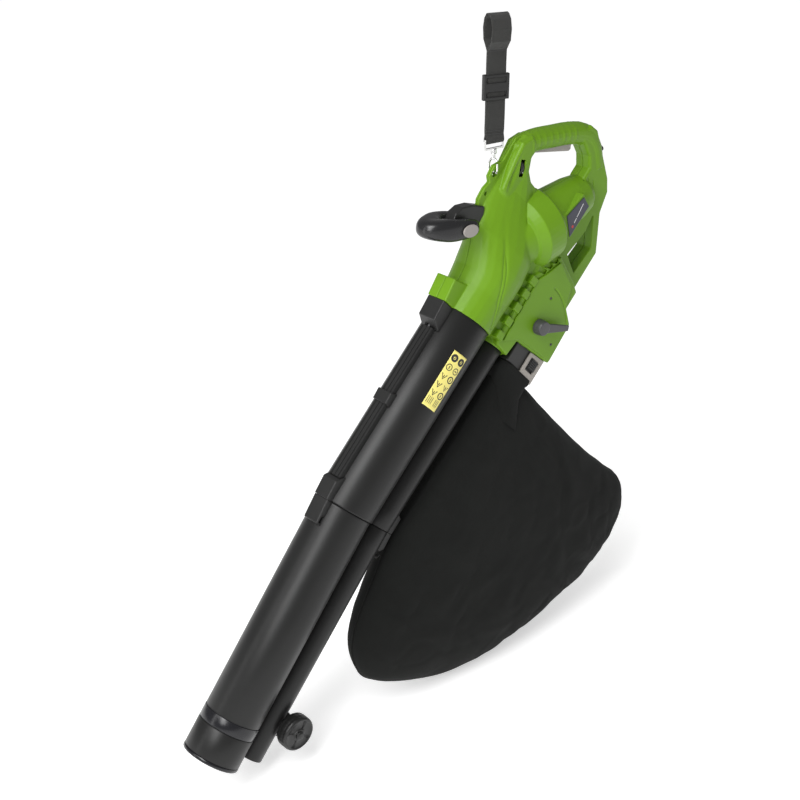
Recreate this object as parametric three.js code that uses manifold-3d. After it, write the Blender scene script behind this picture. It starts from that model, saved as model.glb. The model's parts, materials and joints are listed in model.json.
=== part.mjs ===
// A 3-in-1 garden blower, vacuum and shredder with its collecting bag and shoulder strap.
// Millimetres, +Z up. The tool leans forward, hung from the top loop of its strap, which is the origin.
// Tool frame: +X runs up the tubes to the handle, +Z is the rail side, -Y is the user's left.
import * as THREE from 'three';
import { mergeVertices } from 'three/addons/utils/BufferGeometryUtils.js';
import Module from 'manifold-3d';

const wasm = await Module();
wasm.setup();
const { degToRad } = THREE.MathUtils;

// ---- driving dimensions ----
const LEAN = 45.6; // tool axis above the horizontal, degrees
const KINK = 5.4; // the lower tubes are steeper by this, degrees
const GAP = 0.3; // between touching pieces
const WALL = 3;
const VAC_R = 54.5; // upper vacuum tube, outer radius
const VAC_TOP = 425; // how far it reaches into the housing
const COLLAR_X = 382; // lower rim of the housing
const COLLAR_R = 57.5;
const LOW_R = 51.5; // lower vacuum tube at the joint
const LOW_END_R = 49.6;
const LOW_END = -468;
const BAND_X = -394;
const MOUTH = -475;
const BLOW_Z = -91; // axis of the blower tube under the vacuum tube
const BLOW_R = 31;
const BLOW_JOINT_R = 29;
const BLOW_END = -457;
const BLOW_END_R = 24.5;
const MOTOR = [572.5, 0, -16.4]; // front edge of the fan ring, on its axis
const MOTOR_TILT = 30; // motor axis against the tool axis, degrees
const RING_R = 71;
const BARREL_R = 49;
const BARREL_END_R = 38;
const GRIP = [729.5, 0, 48.6]; // middle of the grip
const GRIP_TILT = 49.2;
const GRIP_R = 20;
const CHEEK_Y = 40; // half width of the diverter housing
const LEVER = [457, -137]; // selector spindle, x and z
const HANDLE = [494, 133]; // hinge of the front handle, x and z
const HANDLE_TURN = -129; // degrees from the tool axis
const WHEEL = [-382, -117]; // wheel axle in the lower tube frame, x and z
const WHEEL_R = 32;
const AXLE_R = 4;
const LUG = [604.8, 122.4]; // hole of the strap lug, x and z
const STRAP_W = 35;
const STRAP_T = 4;
const STRAP_TOP = 264; // top of the strap loop above the lug hole
const STRAP_TURN = -18; // degrees about the vertical

// ---- looks ----
const LOOKS = {
  green: [0x5f9127, 0.45, 0],
  black: [0x232323, 0.55, 0],
  gloss: [0x17181a, 0.2, 0],
  grip: [0x303130, 0.7, 0],
  grey: [0x8c847a, 0.5, 0],
  pale: [0xbdb9b4, 0.5, 0],
  dark: [0x4a4b4b, 0.5, 0],
  steel: [0xc8c8c8, 0.25, 1],
  copper: [0x9a6a45, 0.4, 0.8],
  fabric: [0x161718, 0.95, 0],
  webbing: [0x2b2b29, 0.95, 0],
  yellow: [0xe8d860, 0.5, 0],
  badge: [0x2c2d3c, 0.4, 0],
};

function material(look) {
  const [color, roughness, metalness] = LOOKS[look];
  return new THREE.MeshStandardMaterial({ color, roughness, metalness });
}

// ---- solids ----
function solid(geometry) {
  const bare = geometry.clone();
  bare.deleteAttribute('normal');
  bare.deleteAttribute('uv');
  const merged = mergeVertices(bare, 1e-3);
  const index = merged.index.array;
  const kept = [];
  for (let i = 0; i < index.length; i += 3) {
    const [a, b, c] = [index[i], index[i + 1], index[i + 2]];
    if (a !== b && b !== c && a !== c) kept.push(a, b, c);
  }
  const vertProperties = new Float32Array(merged.attributes.position.array);
  const triVerts = new Uint32Array(kept);
  return new wasm.Manifold(new wasm.Mesh({ numProp: 3, vertProperties, triVerts }));
}

function join(...solids) {
  return solids.reduce((sum, next) => sum.add(next));
}

function cut(body, ...tools) {
  return tools.reduce((rest, tool) => rest.subtract(tool), body);
}

function box(x0, x1, y0, y1, z0, z1) {
  const g = new THREE.BoxGeometry(x1 - x0, y1 - y0, z1 - z0);
  return solid(g.translate((x0 + x1) / 2, (y0 + y1) / 2, (z0 + z1) / 2));
}

// A round bar from one point to another.
function bar(from, to, radius, endRadius = radius, sides = 24) {
  const a = new THREE.Vector3(...from);
  const b = new THREE.Vector3(...to);
  const along = b.clone().sub(a);
  const g = new THREE.CylinderGeometry(endRadius, radius, along.length(), sides);
  const up = new THREE.Vector3(0, 1, 0);
  g.applyQuaternion(new THREE.Quaternion().setFromUnitVectors(up, along.clone().normalize()));
  return solid(g.translate(...a.add(b).multiplyScalar(0.5).toArray()));
}

// A body of revolution about X: points are [x, radius].
function turned(points, sides = 32) {
  const profile = points.map(([x, r]) => new THREE.Vector2(r, x));
  if (points[0][1] > 0) profile.push(profile[0].clone());
  const area = THREE.ShapeUtils.area(profile);
  if (area < 0) profile.reverse();
  const g = new THREE.LatheGeometry(profile, sides);
  return solid(g.rotateZ(-Math.PI / 2));
}

function pipe(x0, x1, r0, r1, wall, sides = 40) {
  return turned([[x0, r0], [x1, r1], [x1, r1 - wall], [x0, r0 - wall]], sides);
}

// A plate with its outline in XZ, from y0 to y1, with rounded edges.
function plate(outline, y0, y1, edge = 0, inset = 0) {
  const shape = new THREE.Shape(outline.map(([x, z]) => new THREE.Vector2(x, z)));
  const options = { depth: y1 - y0 - 2 * edge, bevelEnabled: edge > 0 || inset !== 0, curveSegments: 8 };
  options.bevelThickness = edge;
  options.bevelSize = edge;
  options.bevelOffset = -edge - inset;
  options.bevelSegments = edge > 5 ? 3 : 2;
  const g = new THREE.ExtrudeGeometry(shape, options);
  return solid(g.rotateX(Math.PI / 2).translate(0, y1 - edge, 0));
}

// A closed skin through equal rings of points.
function loft(rings) {
  const count = rings[0].length;
  const positions = rings.flat(2);
  const index = [];
  for (let i = 0; i + 1 < rings.length; i += 1) {
    for (let j = 0; j < count; j += 1) {
      const k = (j + 1) % count;
      const [a, b] = [i * count + j, i * count + k];
      index.push(a, b, b + count, a, b + count, a + count);
    }
  }
  for (const [ring, flip] of [[0, true], [rings.length - 1, false]]) {
    const middle = positions.length / 3;
    const sum = rings[ring].reduce((s, p) => s.map((v, i) => v + p[i] / count), [0, 0, 0]);
    positions.push(...sum);
    for (let j = 0; j < count; j += 1) {
      const [a, b] = [ring * count + j, ring * count + ((j + 1) % count)];
      index.push(middle, flip ? b : a, flip ? a : b);
    }
  }
  const g = new THREE.BufferGeometry();
  g.setAttribute('position', new THREE.Float32BufferAttribute(positions, 3));
  g.setIndex(index);
  const body = solid(g);
  if (body.volume() > 0) return body;
  g.setIndex(index.reverse());
  return solid(g);
}

// An egg section across X: widest at mid, narrower at the top by taper.
function egg({ x, top, bottom, half, mid = 0, taper = 0 }, inset = 0, count = 28) {
  const ring = [];
  for (let j = 0; j < count; j += 1) {
    const angle = (2 * Math.PI * j) / count;
    const rise = Math.cos(angle);
    const reach = rise > 0 ? top - mid : mid - bottom;
    const side = half * Math.sin(angle) * (1 - taper * Math.max(0, rise));
    const scale = 1 - inset / Math.max(half, 1);
    ring.push([x, -side * scale, mid + rise * (reach - inset)]);
  }
  return ring;
}

function round(x, z, r, inset = 0) {
  return egg({ x, top: z + r, bottom: z - r, half: r, mid: z }, inset);
}

function turn(body, degrees, origin) {
  return body.rotate([0, degrees, 0]).translate(origin);
}

// The plane where the upper and lower tubes meet halves the kink between them.
function above(body) {
  return cut(body, turn(box(-900, 0.15, -300, 300, -300, 300), -KINK / 2, [0, 0, 0]));
}

function below(body) {
  return cut(body, turn(box(-0.15, 900, -300, 300, -300, 300), KINK / 2, [0, 0, 0]));
}

// ---- scene graph ----
const model = new THREE.Group();
const tool = new THREE.Group();
const lower = new THREE.Group();
const motor = new THREE.Group();
const grip = new THREE.Group();
const strap = new THREE.Group();
tool.rotation.y = -degToRad(LEAN);
lower.rotation.y = -degToRad(KINK);
motor.rotation.y = degToRad(MOTOR_TILT);
motor.position.set(...MOTOR);
grip.rotation.y = degToRad(GRIP_TILT);
grip.position.set(...GRIP);
const lugPoint = new THREE.Vector3(LUG[0], 0, LUG[1]).applyEuler(tool.rotation);
tool.position.set(-lugPoint.x, 0, -STRAP_TOP - lugPoint.z);
strap.position.set(0, 0, -STRAP_TOP);
model.add(tool, strap);
tool.add(lower, motor, grip);

function piece(parent, name, look, body, turned180 = false) {
  const { vertProperties, triVerts } = body.getMesh();
  const g = new THREE.BufferGeometry();
  g.setAttribute('position', new THREE.BufferAttribute(vertProperties, 3));
  g.setIndex(new THREE.BufferAttribute(triVerts, 1));
  const mesh = new THREE.Mesh(g, material(look));
  mesh.name = name;
  if (turned180) mesh.rotation.z = Math.PI;
  parent.add(mesh);
  return mesh;
}

// ---- housing ----
const DUCT = [
  { x: COLLAR_X, top: COLLAR_R, bottom: -COLLAR_R, half: COLLAR_R },
  { x: 434, top: 58, bottom: -58, half: 58 },
  { x: 458, top: 63, bottom: -60, half: 60 },
  { x: 486, top: 78, bottom: -60, half: 61, mid: 4, taper: 0.15 },
  { x: 520, top: 101, bottom: -58, half: 57, mid: 8, taper: 0.35 },
  { x: 556, top: 109, bottom: -44, half: 45, mid: 18, taper: 0.4 },
  { x: 604, top: 111, bottom: -8, half: 27, mid: 45, taper: 0.35 },
  { x: 632, top: 112, bottom: 12, half: 22, mid: 62, taper: 0.25 },
  { x: 648, top: 112, bottom: 66, half: 20, mid: 84, taper: 0.15 },
  { x: 688, top: 112, bottom: 78, half: 18, mid: 92, taper: 0.1 },
];
const CHEEK = [
  [COLLAR_X, -72], [392, -66], [519, -60], [545, -76], [580, -97], [566, -160], [556, -186],
  [520, -186], [504, -217], [422, -222], [412, -114], [COLLAR_X - 3, -110],
];
const FRONT_COLUMN = [
  [590, 100], [640, 112], [674, 118], [696, 106], [694, 80], [668, 80], [649, 68], [639, 50], [638, 28],
  [646, 4], [600, -30], [560, 20],
];
const REAR_COLUMN = [
  [768, 6], [796, -8], [799, -28], [783, -63], [757, -119], [740, -139], [702, -152],
  [645, -203], [560, -203], [556, -130], [600, -90], [660, -80], [722, -62], [741, -62], [755, -46],
];
const REAR_LOOP = [[600, -133], [655, -142], [690, -136], [643, -181], [585, -175]];
const GRIP_PATH = [
  [640, 78], [670, 101], [698, 83], [730, 49], [759, 16], [779, -16], [778, -48], [756, -84],
];

function motorCase(inset) {
  const ring = [
    [-62, 0], [-62, 44 - inset], [-16, 54 - inset], [-13, 60 - inset], [0, RING_R - inset],
    [38, RING_R - inset], [42, RING_R - 3 - inset], [44, BARREL_R + 4 - inset],
    [52, BARREL_R - inset], [128, 41 - inset], [150, BARREL_END_R - 2 - inset],
    [162 - inset, 28 - inset], [166 - inset, 0],
  ];
  return turn(turned(ring, 44), MOTOR_TILT, MOTOR);
}

function gripTube(inset) {
  const section = new THREE.Shape().absarc(0, 0, GRIP_R - inset, 0, 2 * Math.PI);
  const line = new THREE.CatmullRomCurve3(GRIP_PATH.map(([x, z]) => new THREE.Vector3(x, 0, z)));
  return solid(new THREE.ExtrudeGeometry(section, { steps: 22, extrudePath: line, curveSegments: 9 }));
}

function housingBody(inset) {
  const duct = loft(DUCT.map((section) => egg(section, inset)));
  const blow = loft([
    round(COLLAR_X - 3, BLOW_Z, BLOW_R + 4, inset), round(470, BLOW_Z + 2, BLOW_R + 5, inset),
    round(520, -78, 39, inset), round(556, -64, 36, inset),
  ]);
  const saddle = box(COLLAR_X + 8, 540, -34 + inset, 34 - inset, -90, -20);
  const cheek = plate(CHEEK, -CHEEK_Y, CHEEK_Y, 3 + inset * 0.01, inset);
  const front = plate(FRONT_COLUMN, -20, 20, 5, inset);
  const rear = cut(plate(REAR_COLUMN, -18, 18, 4, inset), plate(REAR_LOOP, -30, 30, 0.01, -inset));
  if (inset === 0) return join(duct, blow, saddle, cheek, front, rear, motorCase(0), gripTube(0));
  const side = box(0, 900, -CHEEK_Y + inset, CHEEK_Y - inset, -400, 400);
  const slim = box(0, 900, -18 + inset, 18 - inset, -400, 400);
  const open = [duct, blow, saddle, cheek.intersect(side), motorCase(inset), gripTube(inset)];
  return join(...open, front.intersect(slim), rear.intersect(slim));
}

// The thin keel along the top of the nose, with the strap hole and a smaller one below it.
const KEEL = [
  [528, 90], [545, 116], [553, 122], [574, 124], [588, 121], [594, 130], [614, 133], [630, 122],
  [676, 124], [694, 112], [690, 98], [604, 90],
];
function keel() {
  const eye = bar([LUG[0], -9, LUG[1]], [LUG[0], 9, LUG[1]], 6.2, 6.2, 20);
  return cut(plate(KEEL, -4.5, 4.5, 1.2), eye, bar([569, -9, 115], [569, 9, 115], 3.6, 3.6, 16));
}

function collarBlock() {
  const top = [[COLLAR_X - 1, 52], [COLLAR_X - 1, 80], [420, 87], [428, 52]];
  return plate(top, -22, 22, 2);
}

function ribs() {
  const blocks = [396, 425, 454, 482, 509].map((x) => box(x - 7, x + 8, -46, 46, -70, -52));
  return join(...blocks);
}

function ventSlots() {
  const slots = [];
  for (let i = 0; i < 3; i += 1) {
    const x = 531 + 15 * i;
    for (const side of [-1, 1]) {
      const [y0, y1] = side < 0 ? [-90, -30] : [30, 90];
      const [high, low] = [-66 - 9 * i, -84 - 6 * i];
      slots.push(plate([[x, high], [x + 10, high], [x + 12, low], [x + 4, low]], y0, y1));
    }
  }
  return slots;
}

// Three slanting louvres on each face of the rear column.
function louvres() {
  const slots = [];
  for (const [x, z] of [[720, -60], [727, -72], [731, -86]]) {
    for (const side of [-1, 1]) {
      const outline = [[x - 1.2, z + 0.9], [x + 1.2, z - 0.9], [x - 17, z - 26.5], [x - 19.4, z - 24.7]];
      slots.push(plate(outline, side < 0 ? -20 : 16.3, side < 0 ? -16.3 : 20));
    }
  }
  return slots;
}

const badgeOutline = [[682, -53], [678, -77], [612, -76], [634, -41]];
const badgePad = plate([[686, -49], [682, -80], [606, -79], [632, -37]], -47.8, -24, 1);
const dialSlot = turn(box(-14.5, 14.5, -30, -6, -5.5, 5.5), -33, [642, 0, 88]);
const triggerSlot = turn(box(-56, 50, -8, 8, -26, -6), GRIP_TILT, GRIP);

const shellOuter = join(
  housingBody(0),
  keel(),
  collarBlock(),
  ribs(),
  badgePad,
);
const tubeSocket = bar([COLLAR_X - 9, 0, 0], [VAC_TOP + 4, 0, 0], VAC_R + GAP, VAC_R + GAP, 40);
const blowSocket = bar([COLLAR_X - 9, 0, BLOW_Z], [430, 0, BLOW_Z], BLOW_R + GAP, BLOW_R + GAP, 32);
const ductWindow = box(360, 450, -30.6, 30.6, -218.6, -127.4);
const leverBore = bar([LEVER[0], -60, LEVER[1]], [LEVER[0], 60, LEVER[1]], 6.4);
const glandBore = bar([752, 0, -59.6], [801, 0, -82.2], 6.4, 6.4, 20);
const rodBore = box(COLLAR_X - 9, 415, -4, 4, 53, 62);
const boltBore = bar([HANDLE[0], -30, HANDLE[1]], [HANDLE[0], 30, HANDLE[1]], 4.3, 4.3, 20);
const shell = cut(
  shellOuter, housingBody(WALL), tubeSocket, blowSocket, ductWindow, leverBore, glandBore, rodBore,
  dialSlot, triggerSlot, ...ventSlots(), ...louvres(),
);
piece(tool, 'housing_left', 'green', shell.intersect(box(300, 900, -200, -0.15, -400, 400)));
piece(tool, 'housing_right', 'green', shell.intersect(box(300, 900, 0.15, 200, -400, 400)));

// The side cover of the diverter, with its curved groove and two screw recesses.
function groove() {
  const curve = new THREE.QuadraticBezierCurve3(
    new THREE.Vector3(529, -44, -123), new THREE.Vector3(531, -44, -165), new THREE.Vector3(496, -44, -205));
  const section = new THREE.Shape().absarc(0, 0, 1.2, 0, 2 * Math.PI);
  return solid(new THREE.ExtrudeGeometry(section, { steps: 12, extrudePath: curve, curveSegments: 3 }));
}
const coverOutline = [
  [394, -78], [518, -72], [540, -86], [572, -101], [556, -160], [518, -180], [500, -213], [425, -217],
  [415, -112],
];
const coverTop = -CHEEK_Y - GAP;
const cover = cut(
  plate(coverOutline, coverTop - 3, coverTop, 0.8),
  leverBore, groove(),
  bar([511, -50, -128], [511, -42, -128], 3, 3, 14), bar([450, -50, -196], [450, -42, -196], 3, 3, 14),
);
piece(tool, 'diverter_cover', 'green', cover);
piece(tool, 'name_plate', 'badge', plate(badgeOutline, -49.4, -48.1, 0.4));

// ---- selector and its flap ----
const spindle = bar([LEVER[0], -45, LEVER[1]], [LEVER[0], -36, LEVER[1]], 6);
const hubProfile = [[0, 0], [0, 14.5], [5, 14.5], [14, 13.6], [17, 12.4], [17.6, 0]];
const hub = turned(hubProfile, 28).rotate([0, 0, -90]).translate([LEVER[0], -43.6, LEVER[1]]);
const armEnd = [LEVER[0] + 33, LEVER[1] - 58];
const arm = loft([0, 1].map((end) => {
  const [x, z] = end ? armEnd : LEVER;
  const [w, t] = end ? [5, 2.5] : [9, 4];
  const [nx, nz] = [0.869, 0.494];
  const corner = (a, b) => [x + nx * a, -56 + b - 1.2 * end, z + nz * a];
  return [
    corner(-w, -t), corner(w, -t), corner(w + 0.6, 0), corner(w, t), corner(-w, t), corner(-w - 0.6, 0),
  ];
}));
piece(tool, 'selector_lever', 'dark', join(spindle, hub, arm));
const flapRod = bar([LEVER[0], -34, LEVER[1]], [LEVER[0], 34, LEVER[1]], 5);
const flapBlade = plate([[457, -139], [500, -172], [503, -168], [460, -134]], -32, 32, 0.8);
piece(tool, 'diverter_flap', 'black', join(flapRod, flapBlade));

// ---- outlet to the bag ----
const ductOuter = plate([[376, -218], [448, -218], [448, -128], [376, -128]], -30, 30, 2);
const ductInner = box(370, 460, -27, 27, -215, -131);
piece(tool, 'outlet_duct', 'black', cut(ductOuter, ductInner));
const adapter = plate([[370, -216], [420.5, -216], [416.5, -172], [370, -172]], -34.5, -30.3, 0.8);
const latchWindow = box(385.5, 410.5, -36, -29, -205.5, -179.5);
piece(tool, 'bag_adapter', 'grey', cut(adapter, latchWindow));
const latchRibs = [391.5, 395.5, 399.5, 403.5, 407].map((x) => box(x, x + 1.8, -37, -33.6, -203, -182));
piece(tool, 'bag_latch', 'black', join(box(390, 410, -34, -31, -205, -180), ...latchRibs));

// ---- collecting bag: half widths in X and Y at each height ----
const BAG = [
  [-138, 20, 368, 16], [-152, -34, 369, 42], [-200, -182, 368, 60], [-262, -228, 366, 74],
  [-330, -224, 361, 80], [-400, -200, 358, 82], [-500, -142, 355, 78], [-590, -38, 354, 68],
  [-650, 54, 348, 54], [-700, 142, 322, 36], [-728, 224, 286, 12],
];
function bagRing([z, low, high, half]) {
  const ring = [];
  for (let j = 0; j < 24; j += 1) {
    const angle = (2 * Math.PI * j) / 24;
    const [c, s] = [Math.cos(angle), Math.sin(angle)];
    const x = (low + high) / 2 + ((high - low) / 2) * Math.sign(c) * Math.abs(c) ** 0.8;
    ring.push([x, half * Math.sign(s) * Math.abs(s) ** 0.9, z]);
  }
  return ring;
}
const bagNeck = plate([[290, -160], [368.5, -131], [368.5, -219], [290, -250]], -33, 33, 4);
piece(tool, 'bag', 'fabric', join(loft(BAG.map(bagRing)), bagNeck));

// ---- upper tubes ----
const vacBore = turned([[-60, 0], [-60, VAC_R + GAP], [500, VAC_R + GAP], [500, 0]], 40);
const upperVac = above(pipe(-40, VAC_TOP, VAC_R, VAC_R, WALL));
piece(tool, 'upper_vac_tube', 'black', upperVac);
const blowShift = 2.5;
const blowSkin = (inset) => loft([
  round(-40, BLOW_Z + blowShift, BLOW_JOINT_R, inset), round(425, BLOW_Z, BLOW_R, inset),
]);
const blowInner = blowSkin(2.5);
const upperBlow = above(cut(blowSkin(0), blowInner.translate([1, 0, 0]), blowInner.translate([-1, 0, 0])));
piece(tool, 'upper_blow_tube', 'black', upperBlow);
piece(tool, 'interlock_cover', 'black', cut(
  plate([[334, 50], [334, 55], [345, 76], [COLLAR_X - 1.4, 79.5], [COLLAR_X - 1.4, 50]], -20, 20, 1.5),
  vacBore, box(320, 400, -4, 4, 40, 62)));

function railBody(x0, x1) {
  const grooves = [-8.5, 8.5, 0].map((y) => box(x0 - 1, x1 + 1, y - 1, y + 1, 61.5, 70));
  return cut(box(x0, x1, -13, 13, 50, 62.5), vacBore, box(x0 - 1, x1 + 1, -4, 4, 40, 61), ...grooves);
}
piece(tool, 'rail_cover', 'black', join(railBody(38, 333.6)));
const clipOuter = plate([[180, 50], [183, 66], [203, 67.5], [208, 50]], -16.5, 16.5, 1.2);
piece(tool, 'rail_clip', 'black', cut(clipOuter, vacBore, box(100, 300, -13.3, 13.3, 40, 62.8)));
piece(tool, 'interlock_rod', 'dark', bar([40, 0, 58], [410, 0, 58], 2.6, 2.6, 12));

const blockUpper = plate([[-20, 40], [-20, 62], [30, 68], [36, 63], [50, 46], [50, 40]], -17, 17, 1.5);
const railRoom = box(37, 60, -14, 14, 40, 63.2);
const blockWindow = box(37, 70, -4, 4, 40, 62);
piece(tool, 'joint_block_upper', 'black', above(cut(blockUpper, vacBore, railRoom, blockWindow)));
const blowBoreUp = loft([
  round(-60, BLOW_Z + blowShift, BLOW_JOINT_R + GAP), round(425, BLOW_Z, BLOW_R + GAP),
]);
const lugUpper = plate([[-20, -100], [40, -100], [45, -116], [38, -131], [-20, -131]], -12, 12, 1.5);
piece(tool, 'joint_lug_upper', 'black', above(cut(lugUpper, blowBoreUp)));

// The plain yellow plate on the tube's left side.
const label = new THREE.Shape();
const [labelFrom, labelTo] = [degToRad(62), degToRad(97)];
label.absarc(0, 0, VAC_R + 0.9, labelFrom, labelTo, false);
label.absarc(0, 0, VAC_R + GAP, labelTo, labelFrom, true);
const labelCurve = { depth: 107, bevelEnabled: false, curveSegments: 8 };
const labelBody = solid(new THREE.ExtrudeGeometry(label, labelCurve)).rotate([0, 90, 0]).rotate([-90, 0, 0]);
piece(tool, 'warning_label', 'yellow', labelBody.translate([216, 0, 0]));

// ---- lower tubes ----
const lowBore = turned([
  [-600, 0], [-600, LOW_END_R + GAP], [BAND_X - 1, LOW_END_R + 0.8], [60, LOW_R + 0.7], [60, 0],
], 40);
const lowerVac = below(turned([
  [LOW_END, LOW_END_R], [BAND_X, LOW_END_R], [BAND_X, LOW_END_R + 0.7], [40, LOW_R], [40, LOW_R - 2.5],
  [LOW_END, LOW_END_R - 2.5],
], 40));
piece(lower, 'lower_vac_tube', 'black', lowerVac);
piece(lower, 'nozzle_band', 'gloss', pipe(LOW_END, BAND_X - GAP, LOW_END_R + 1.2, LOW_END_R + 1.2, 0.9));
piece(lower, 'mouth_ring', 'gloss', turned([
  [MOUTH, LOW_END_R - 1], [MOUTH + 1.5, LOW_END_R + 1.6], [LOW_END - GAP, LOW_END_R + 1.6],
  [LOW_END - GAP, LOW_END_R - 2.5], [MOUTH, LOW_END_R - 2.5],
], 40));
const lowBlowSkin = (inset) => loft([
  round(BLOW_END, -84, BLOW_END_R, inset), round(40, -88.5, BLOW_JOINT_R, inset),
]);
const lowBlowInner = lowBlowSkin(2.3);
const lowerBlow = cut(lowBlowSkin(0), lowBlowInner.translate([1, 0, 0]), lowBlowInner.translate([-1, 0, 0]));
piece(lower, 'lower_blow_tube', 'black', below(lowerBlow));
const lowBlowBore = loft([round(-600, -82.7, BLOW_END_R - 1 + GAP), round(40, -88.5, BLOW_JOINT_R + GAP)]);
const blockLower = plate([[-46, 38], [-40, 60], [20, 63.5], [20, 38]], -17, 17, 1.5);
const blockPocket = box(-38, -26, -18, -13, 42, 56);
piece(lower, 'joint_block_lower', 'black', below(cut(blockLower, lowBore, blockPocket)));
const lugLower = plate([[-42, -100], [20, -100], [20, -131], [-36, -131], [-42, -124]], -12, 12, 1.5);
piece(lower, 'joint_lug_lower', 'black', below(cut(lugLower, lowBlowBore)));

// Hook for the lower end of the bag, and the bag's ring that hangs on it.
piece(lower, 'bag_hook', 'black', plate(
  [
    [-43, -118], [-56, -118], [-56, -134], [-48, -138], [-47, -135.5], [-52.5, -132], [-52.5, -122],
    [-43, -122],
  ],
  -5, 5, 0.6));

// ---- wheels ----
const bracket = plate([[-406, -98], [-356, -98], [-371, -124], [-393, -124]], -22, 22, 1.5);
const axleBore = bar([WHEEL[0], -80, WHEEL[1]], [WHEEL[0], 80, WHEEL[1]], AXLE_R + GAP);
piece(lower, 'wheel_bracket', 'black', cut(bracket, lowBlowBore.translate([0, 0, -0.2]), axleBore));
piece(lower, 'wheel_axle', 'steel', bar([WHEEL[0], -55, WHEEL[1]], [WHEEL[0], 55, WHEEL[1]], AXLE_R));
const wheelProfile = [
  [26.2, AXLE_R + GAP], [26.2, 27], [28, 30.5], [30.5, WHEEL_R], [48.5, WHEEL_R], [51.5, 30.5],
  [52.6, 28], [51.4, 26.5], [51.4, 12], [53.4, 11], [53.4, AXLE_R + GAP],
];
for (const [name, side] of [['left', -1], ['right', 1]]) {
  const wheel = turned(wheelProfile, 36).rotate([0, 0, 90 * side]).translate([WHEEL[0], 0, WHEEL[1]]);
  const spokes = [];
  for (let i = 0; i < 5; i += 1) {
    const angle = (2 * Math.PI * i) / 5;
    const [c, s] = [Math.cos(angle), Math.sin(angle)];
    const from = [WHEEL[0] + 15 * c, side * 51.4, WHEEL[1] + 15 * s];
    const to = [WHEEL[0] + 23 * c, side * 51.4, WHEEL[1] + 23 * s];
    spokes.push(bar(from, to, 1.6, 1.6, 8));
  }
  piece(lower, `wheel_${name}`, 'black', cut(wheel, ...spokes));
  const cap = turned([[54, 0], [54, 8], [55.5, 8], [58, 5.5], [58.5, 0]], 24);
  const capBody = cut(cap.rotate([0, 0, 90 * side]).translate([WHEEL[0], 0, WHEEL[1]]),
    bar([WHEEL[0], -55.3, WHEEL[1]], [WHEEL[0], 55.3, WHEEL[1]], AXLE_R + GAP));
  piece(lower, `hub_cap_${name}`, 'black', capBody);
}

// ---- front handle ----
const handleFrame = (body) => turn(body.rotate([90, 0, 0]), HANDLE_TURN, [HANDLE[0], 0, HANDLE[1]]);
const bow = [
  [-15, 32], [-6, 37.5], [24, 38.5], [48, 36], [68, 28.5], [82, 15], [87, 0], [82, -15], [68, -28.5],
  [48, -36], [24, -38.5], [-6, -37.5], [-15, -32], [-15, -13], [19, -12.5], [28, -9], [34, -6], [36, 0],
  [34, 6], [28, 9], [19, 12.5], [-15, 13],
];
const bowBody = cut(handleFrame(plate(bow, -15, 15, 9)), boltBore,
  bar([HANDLE[0], -60, HANDLE[1]], [HANDLE[0], 60, HANDLE[1]], 4.3, 4.3, 20));
piece(tool, 'aux_handle', 'grip', bowBody);
const bracketShape = [
  [483, 122], [480, 138], [489, 151], [505, 156], [521, 150], [536, 134], [550, 108], [530, 90],
  [512, 88], [518, 112], [512, 124], [503, 122], [494, 119],
];
const ductBlank = loft(DUCT.map((section) => egg(section, -GAP)));
piece(tool, 'handle_bracket', 'grip', cut(
  plate(bracketShape, -11, 11, 2), ductBlank, boltBore, plate(KEEL, -4.9, 4.9, 0.01, -0.4)));
piece(tool, 'handle_bolt', 'steel', bar([HANDLE[0], -38, HANDLE[1]], [HANDLE[0], 38, HANDLE[1]], 4, 4, 16));
for (const [name, side] of [['left', -1], ['right', 1]]) {
  const oval = [];
  for (let i = 0; i < 20; i += 1) {
    const angle = (2 * Math.PI * i) / 20;
    oval.push([3 + 17 * Math.cos(angle), 11 * Math.sin(angle)]);
  }
  const disc = plate(oval, -1.5, 1.5, 0.8);
  piece(tool, `pivot_cap_${name}`, 'pale', turn(disc, HANDLE_TURN, [HANDLE[0], side * 40.2, HANDLE[1]]));
}

// ---- trigger, switch, dial, cable inlet ----
piece(grip, 'trigger', 'pale', plate(
  [[-52, -12], [-52, -21], [-40, -22], [42, -29], [47, -26], [47, -14], [-30, -9], [-48, -8]], -7, 7, 1.2));
piece(grip, 'switch_module', 'dark', box(-22, 26, -9, 9, 1, 13));
const dialTurn = -33;
const dialProfile = [[-3, 0], [-3, 12.6], [-2, 13.5], [2, 13.5], [3, 12.6], [3, 0]];
const dialBody = turned(dialProfile, 24).rotate([0, 90, 0]);
piece(tool, 'speed_dial', 'black', turn(dialBody, dialTurn, [642, -8, 88]));
piece(tool, 'cable_gland', 'grey', cut(bar([764, 0, -65.1], [792.5, 0, -78.3], 6, 6, 20),
  bar([755, 0, -61], [800, 0, -81.8], 3.6, 3.6, 16)));
piece(tool, 'capacitor', 'pale', bar([580, 0, 50], [608, 0, 60], 8, 8, 20));

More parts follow.
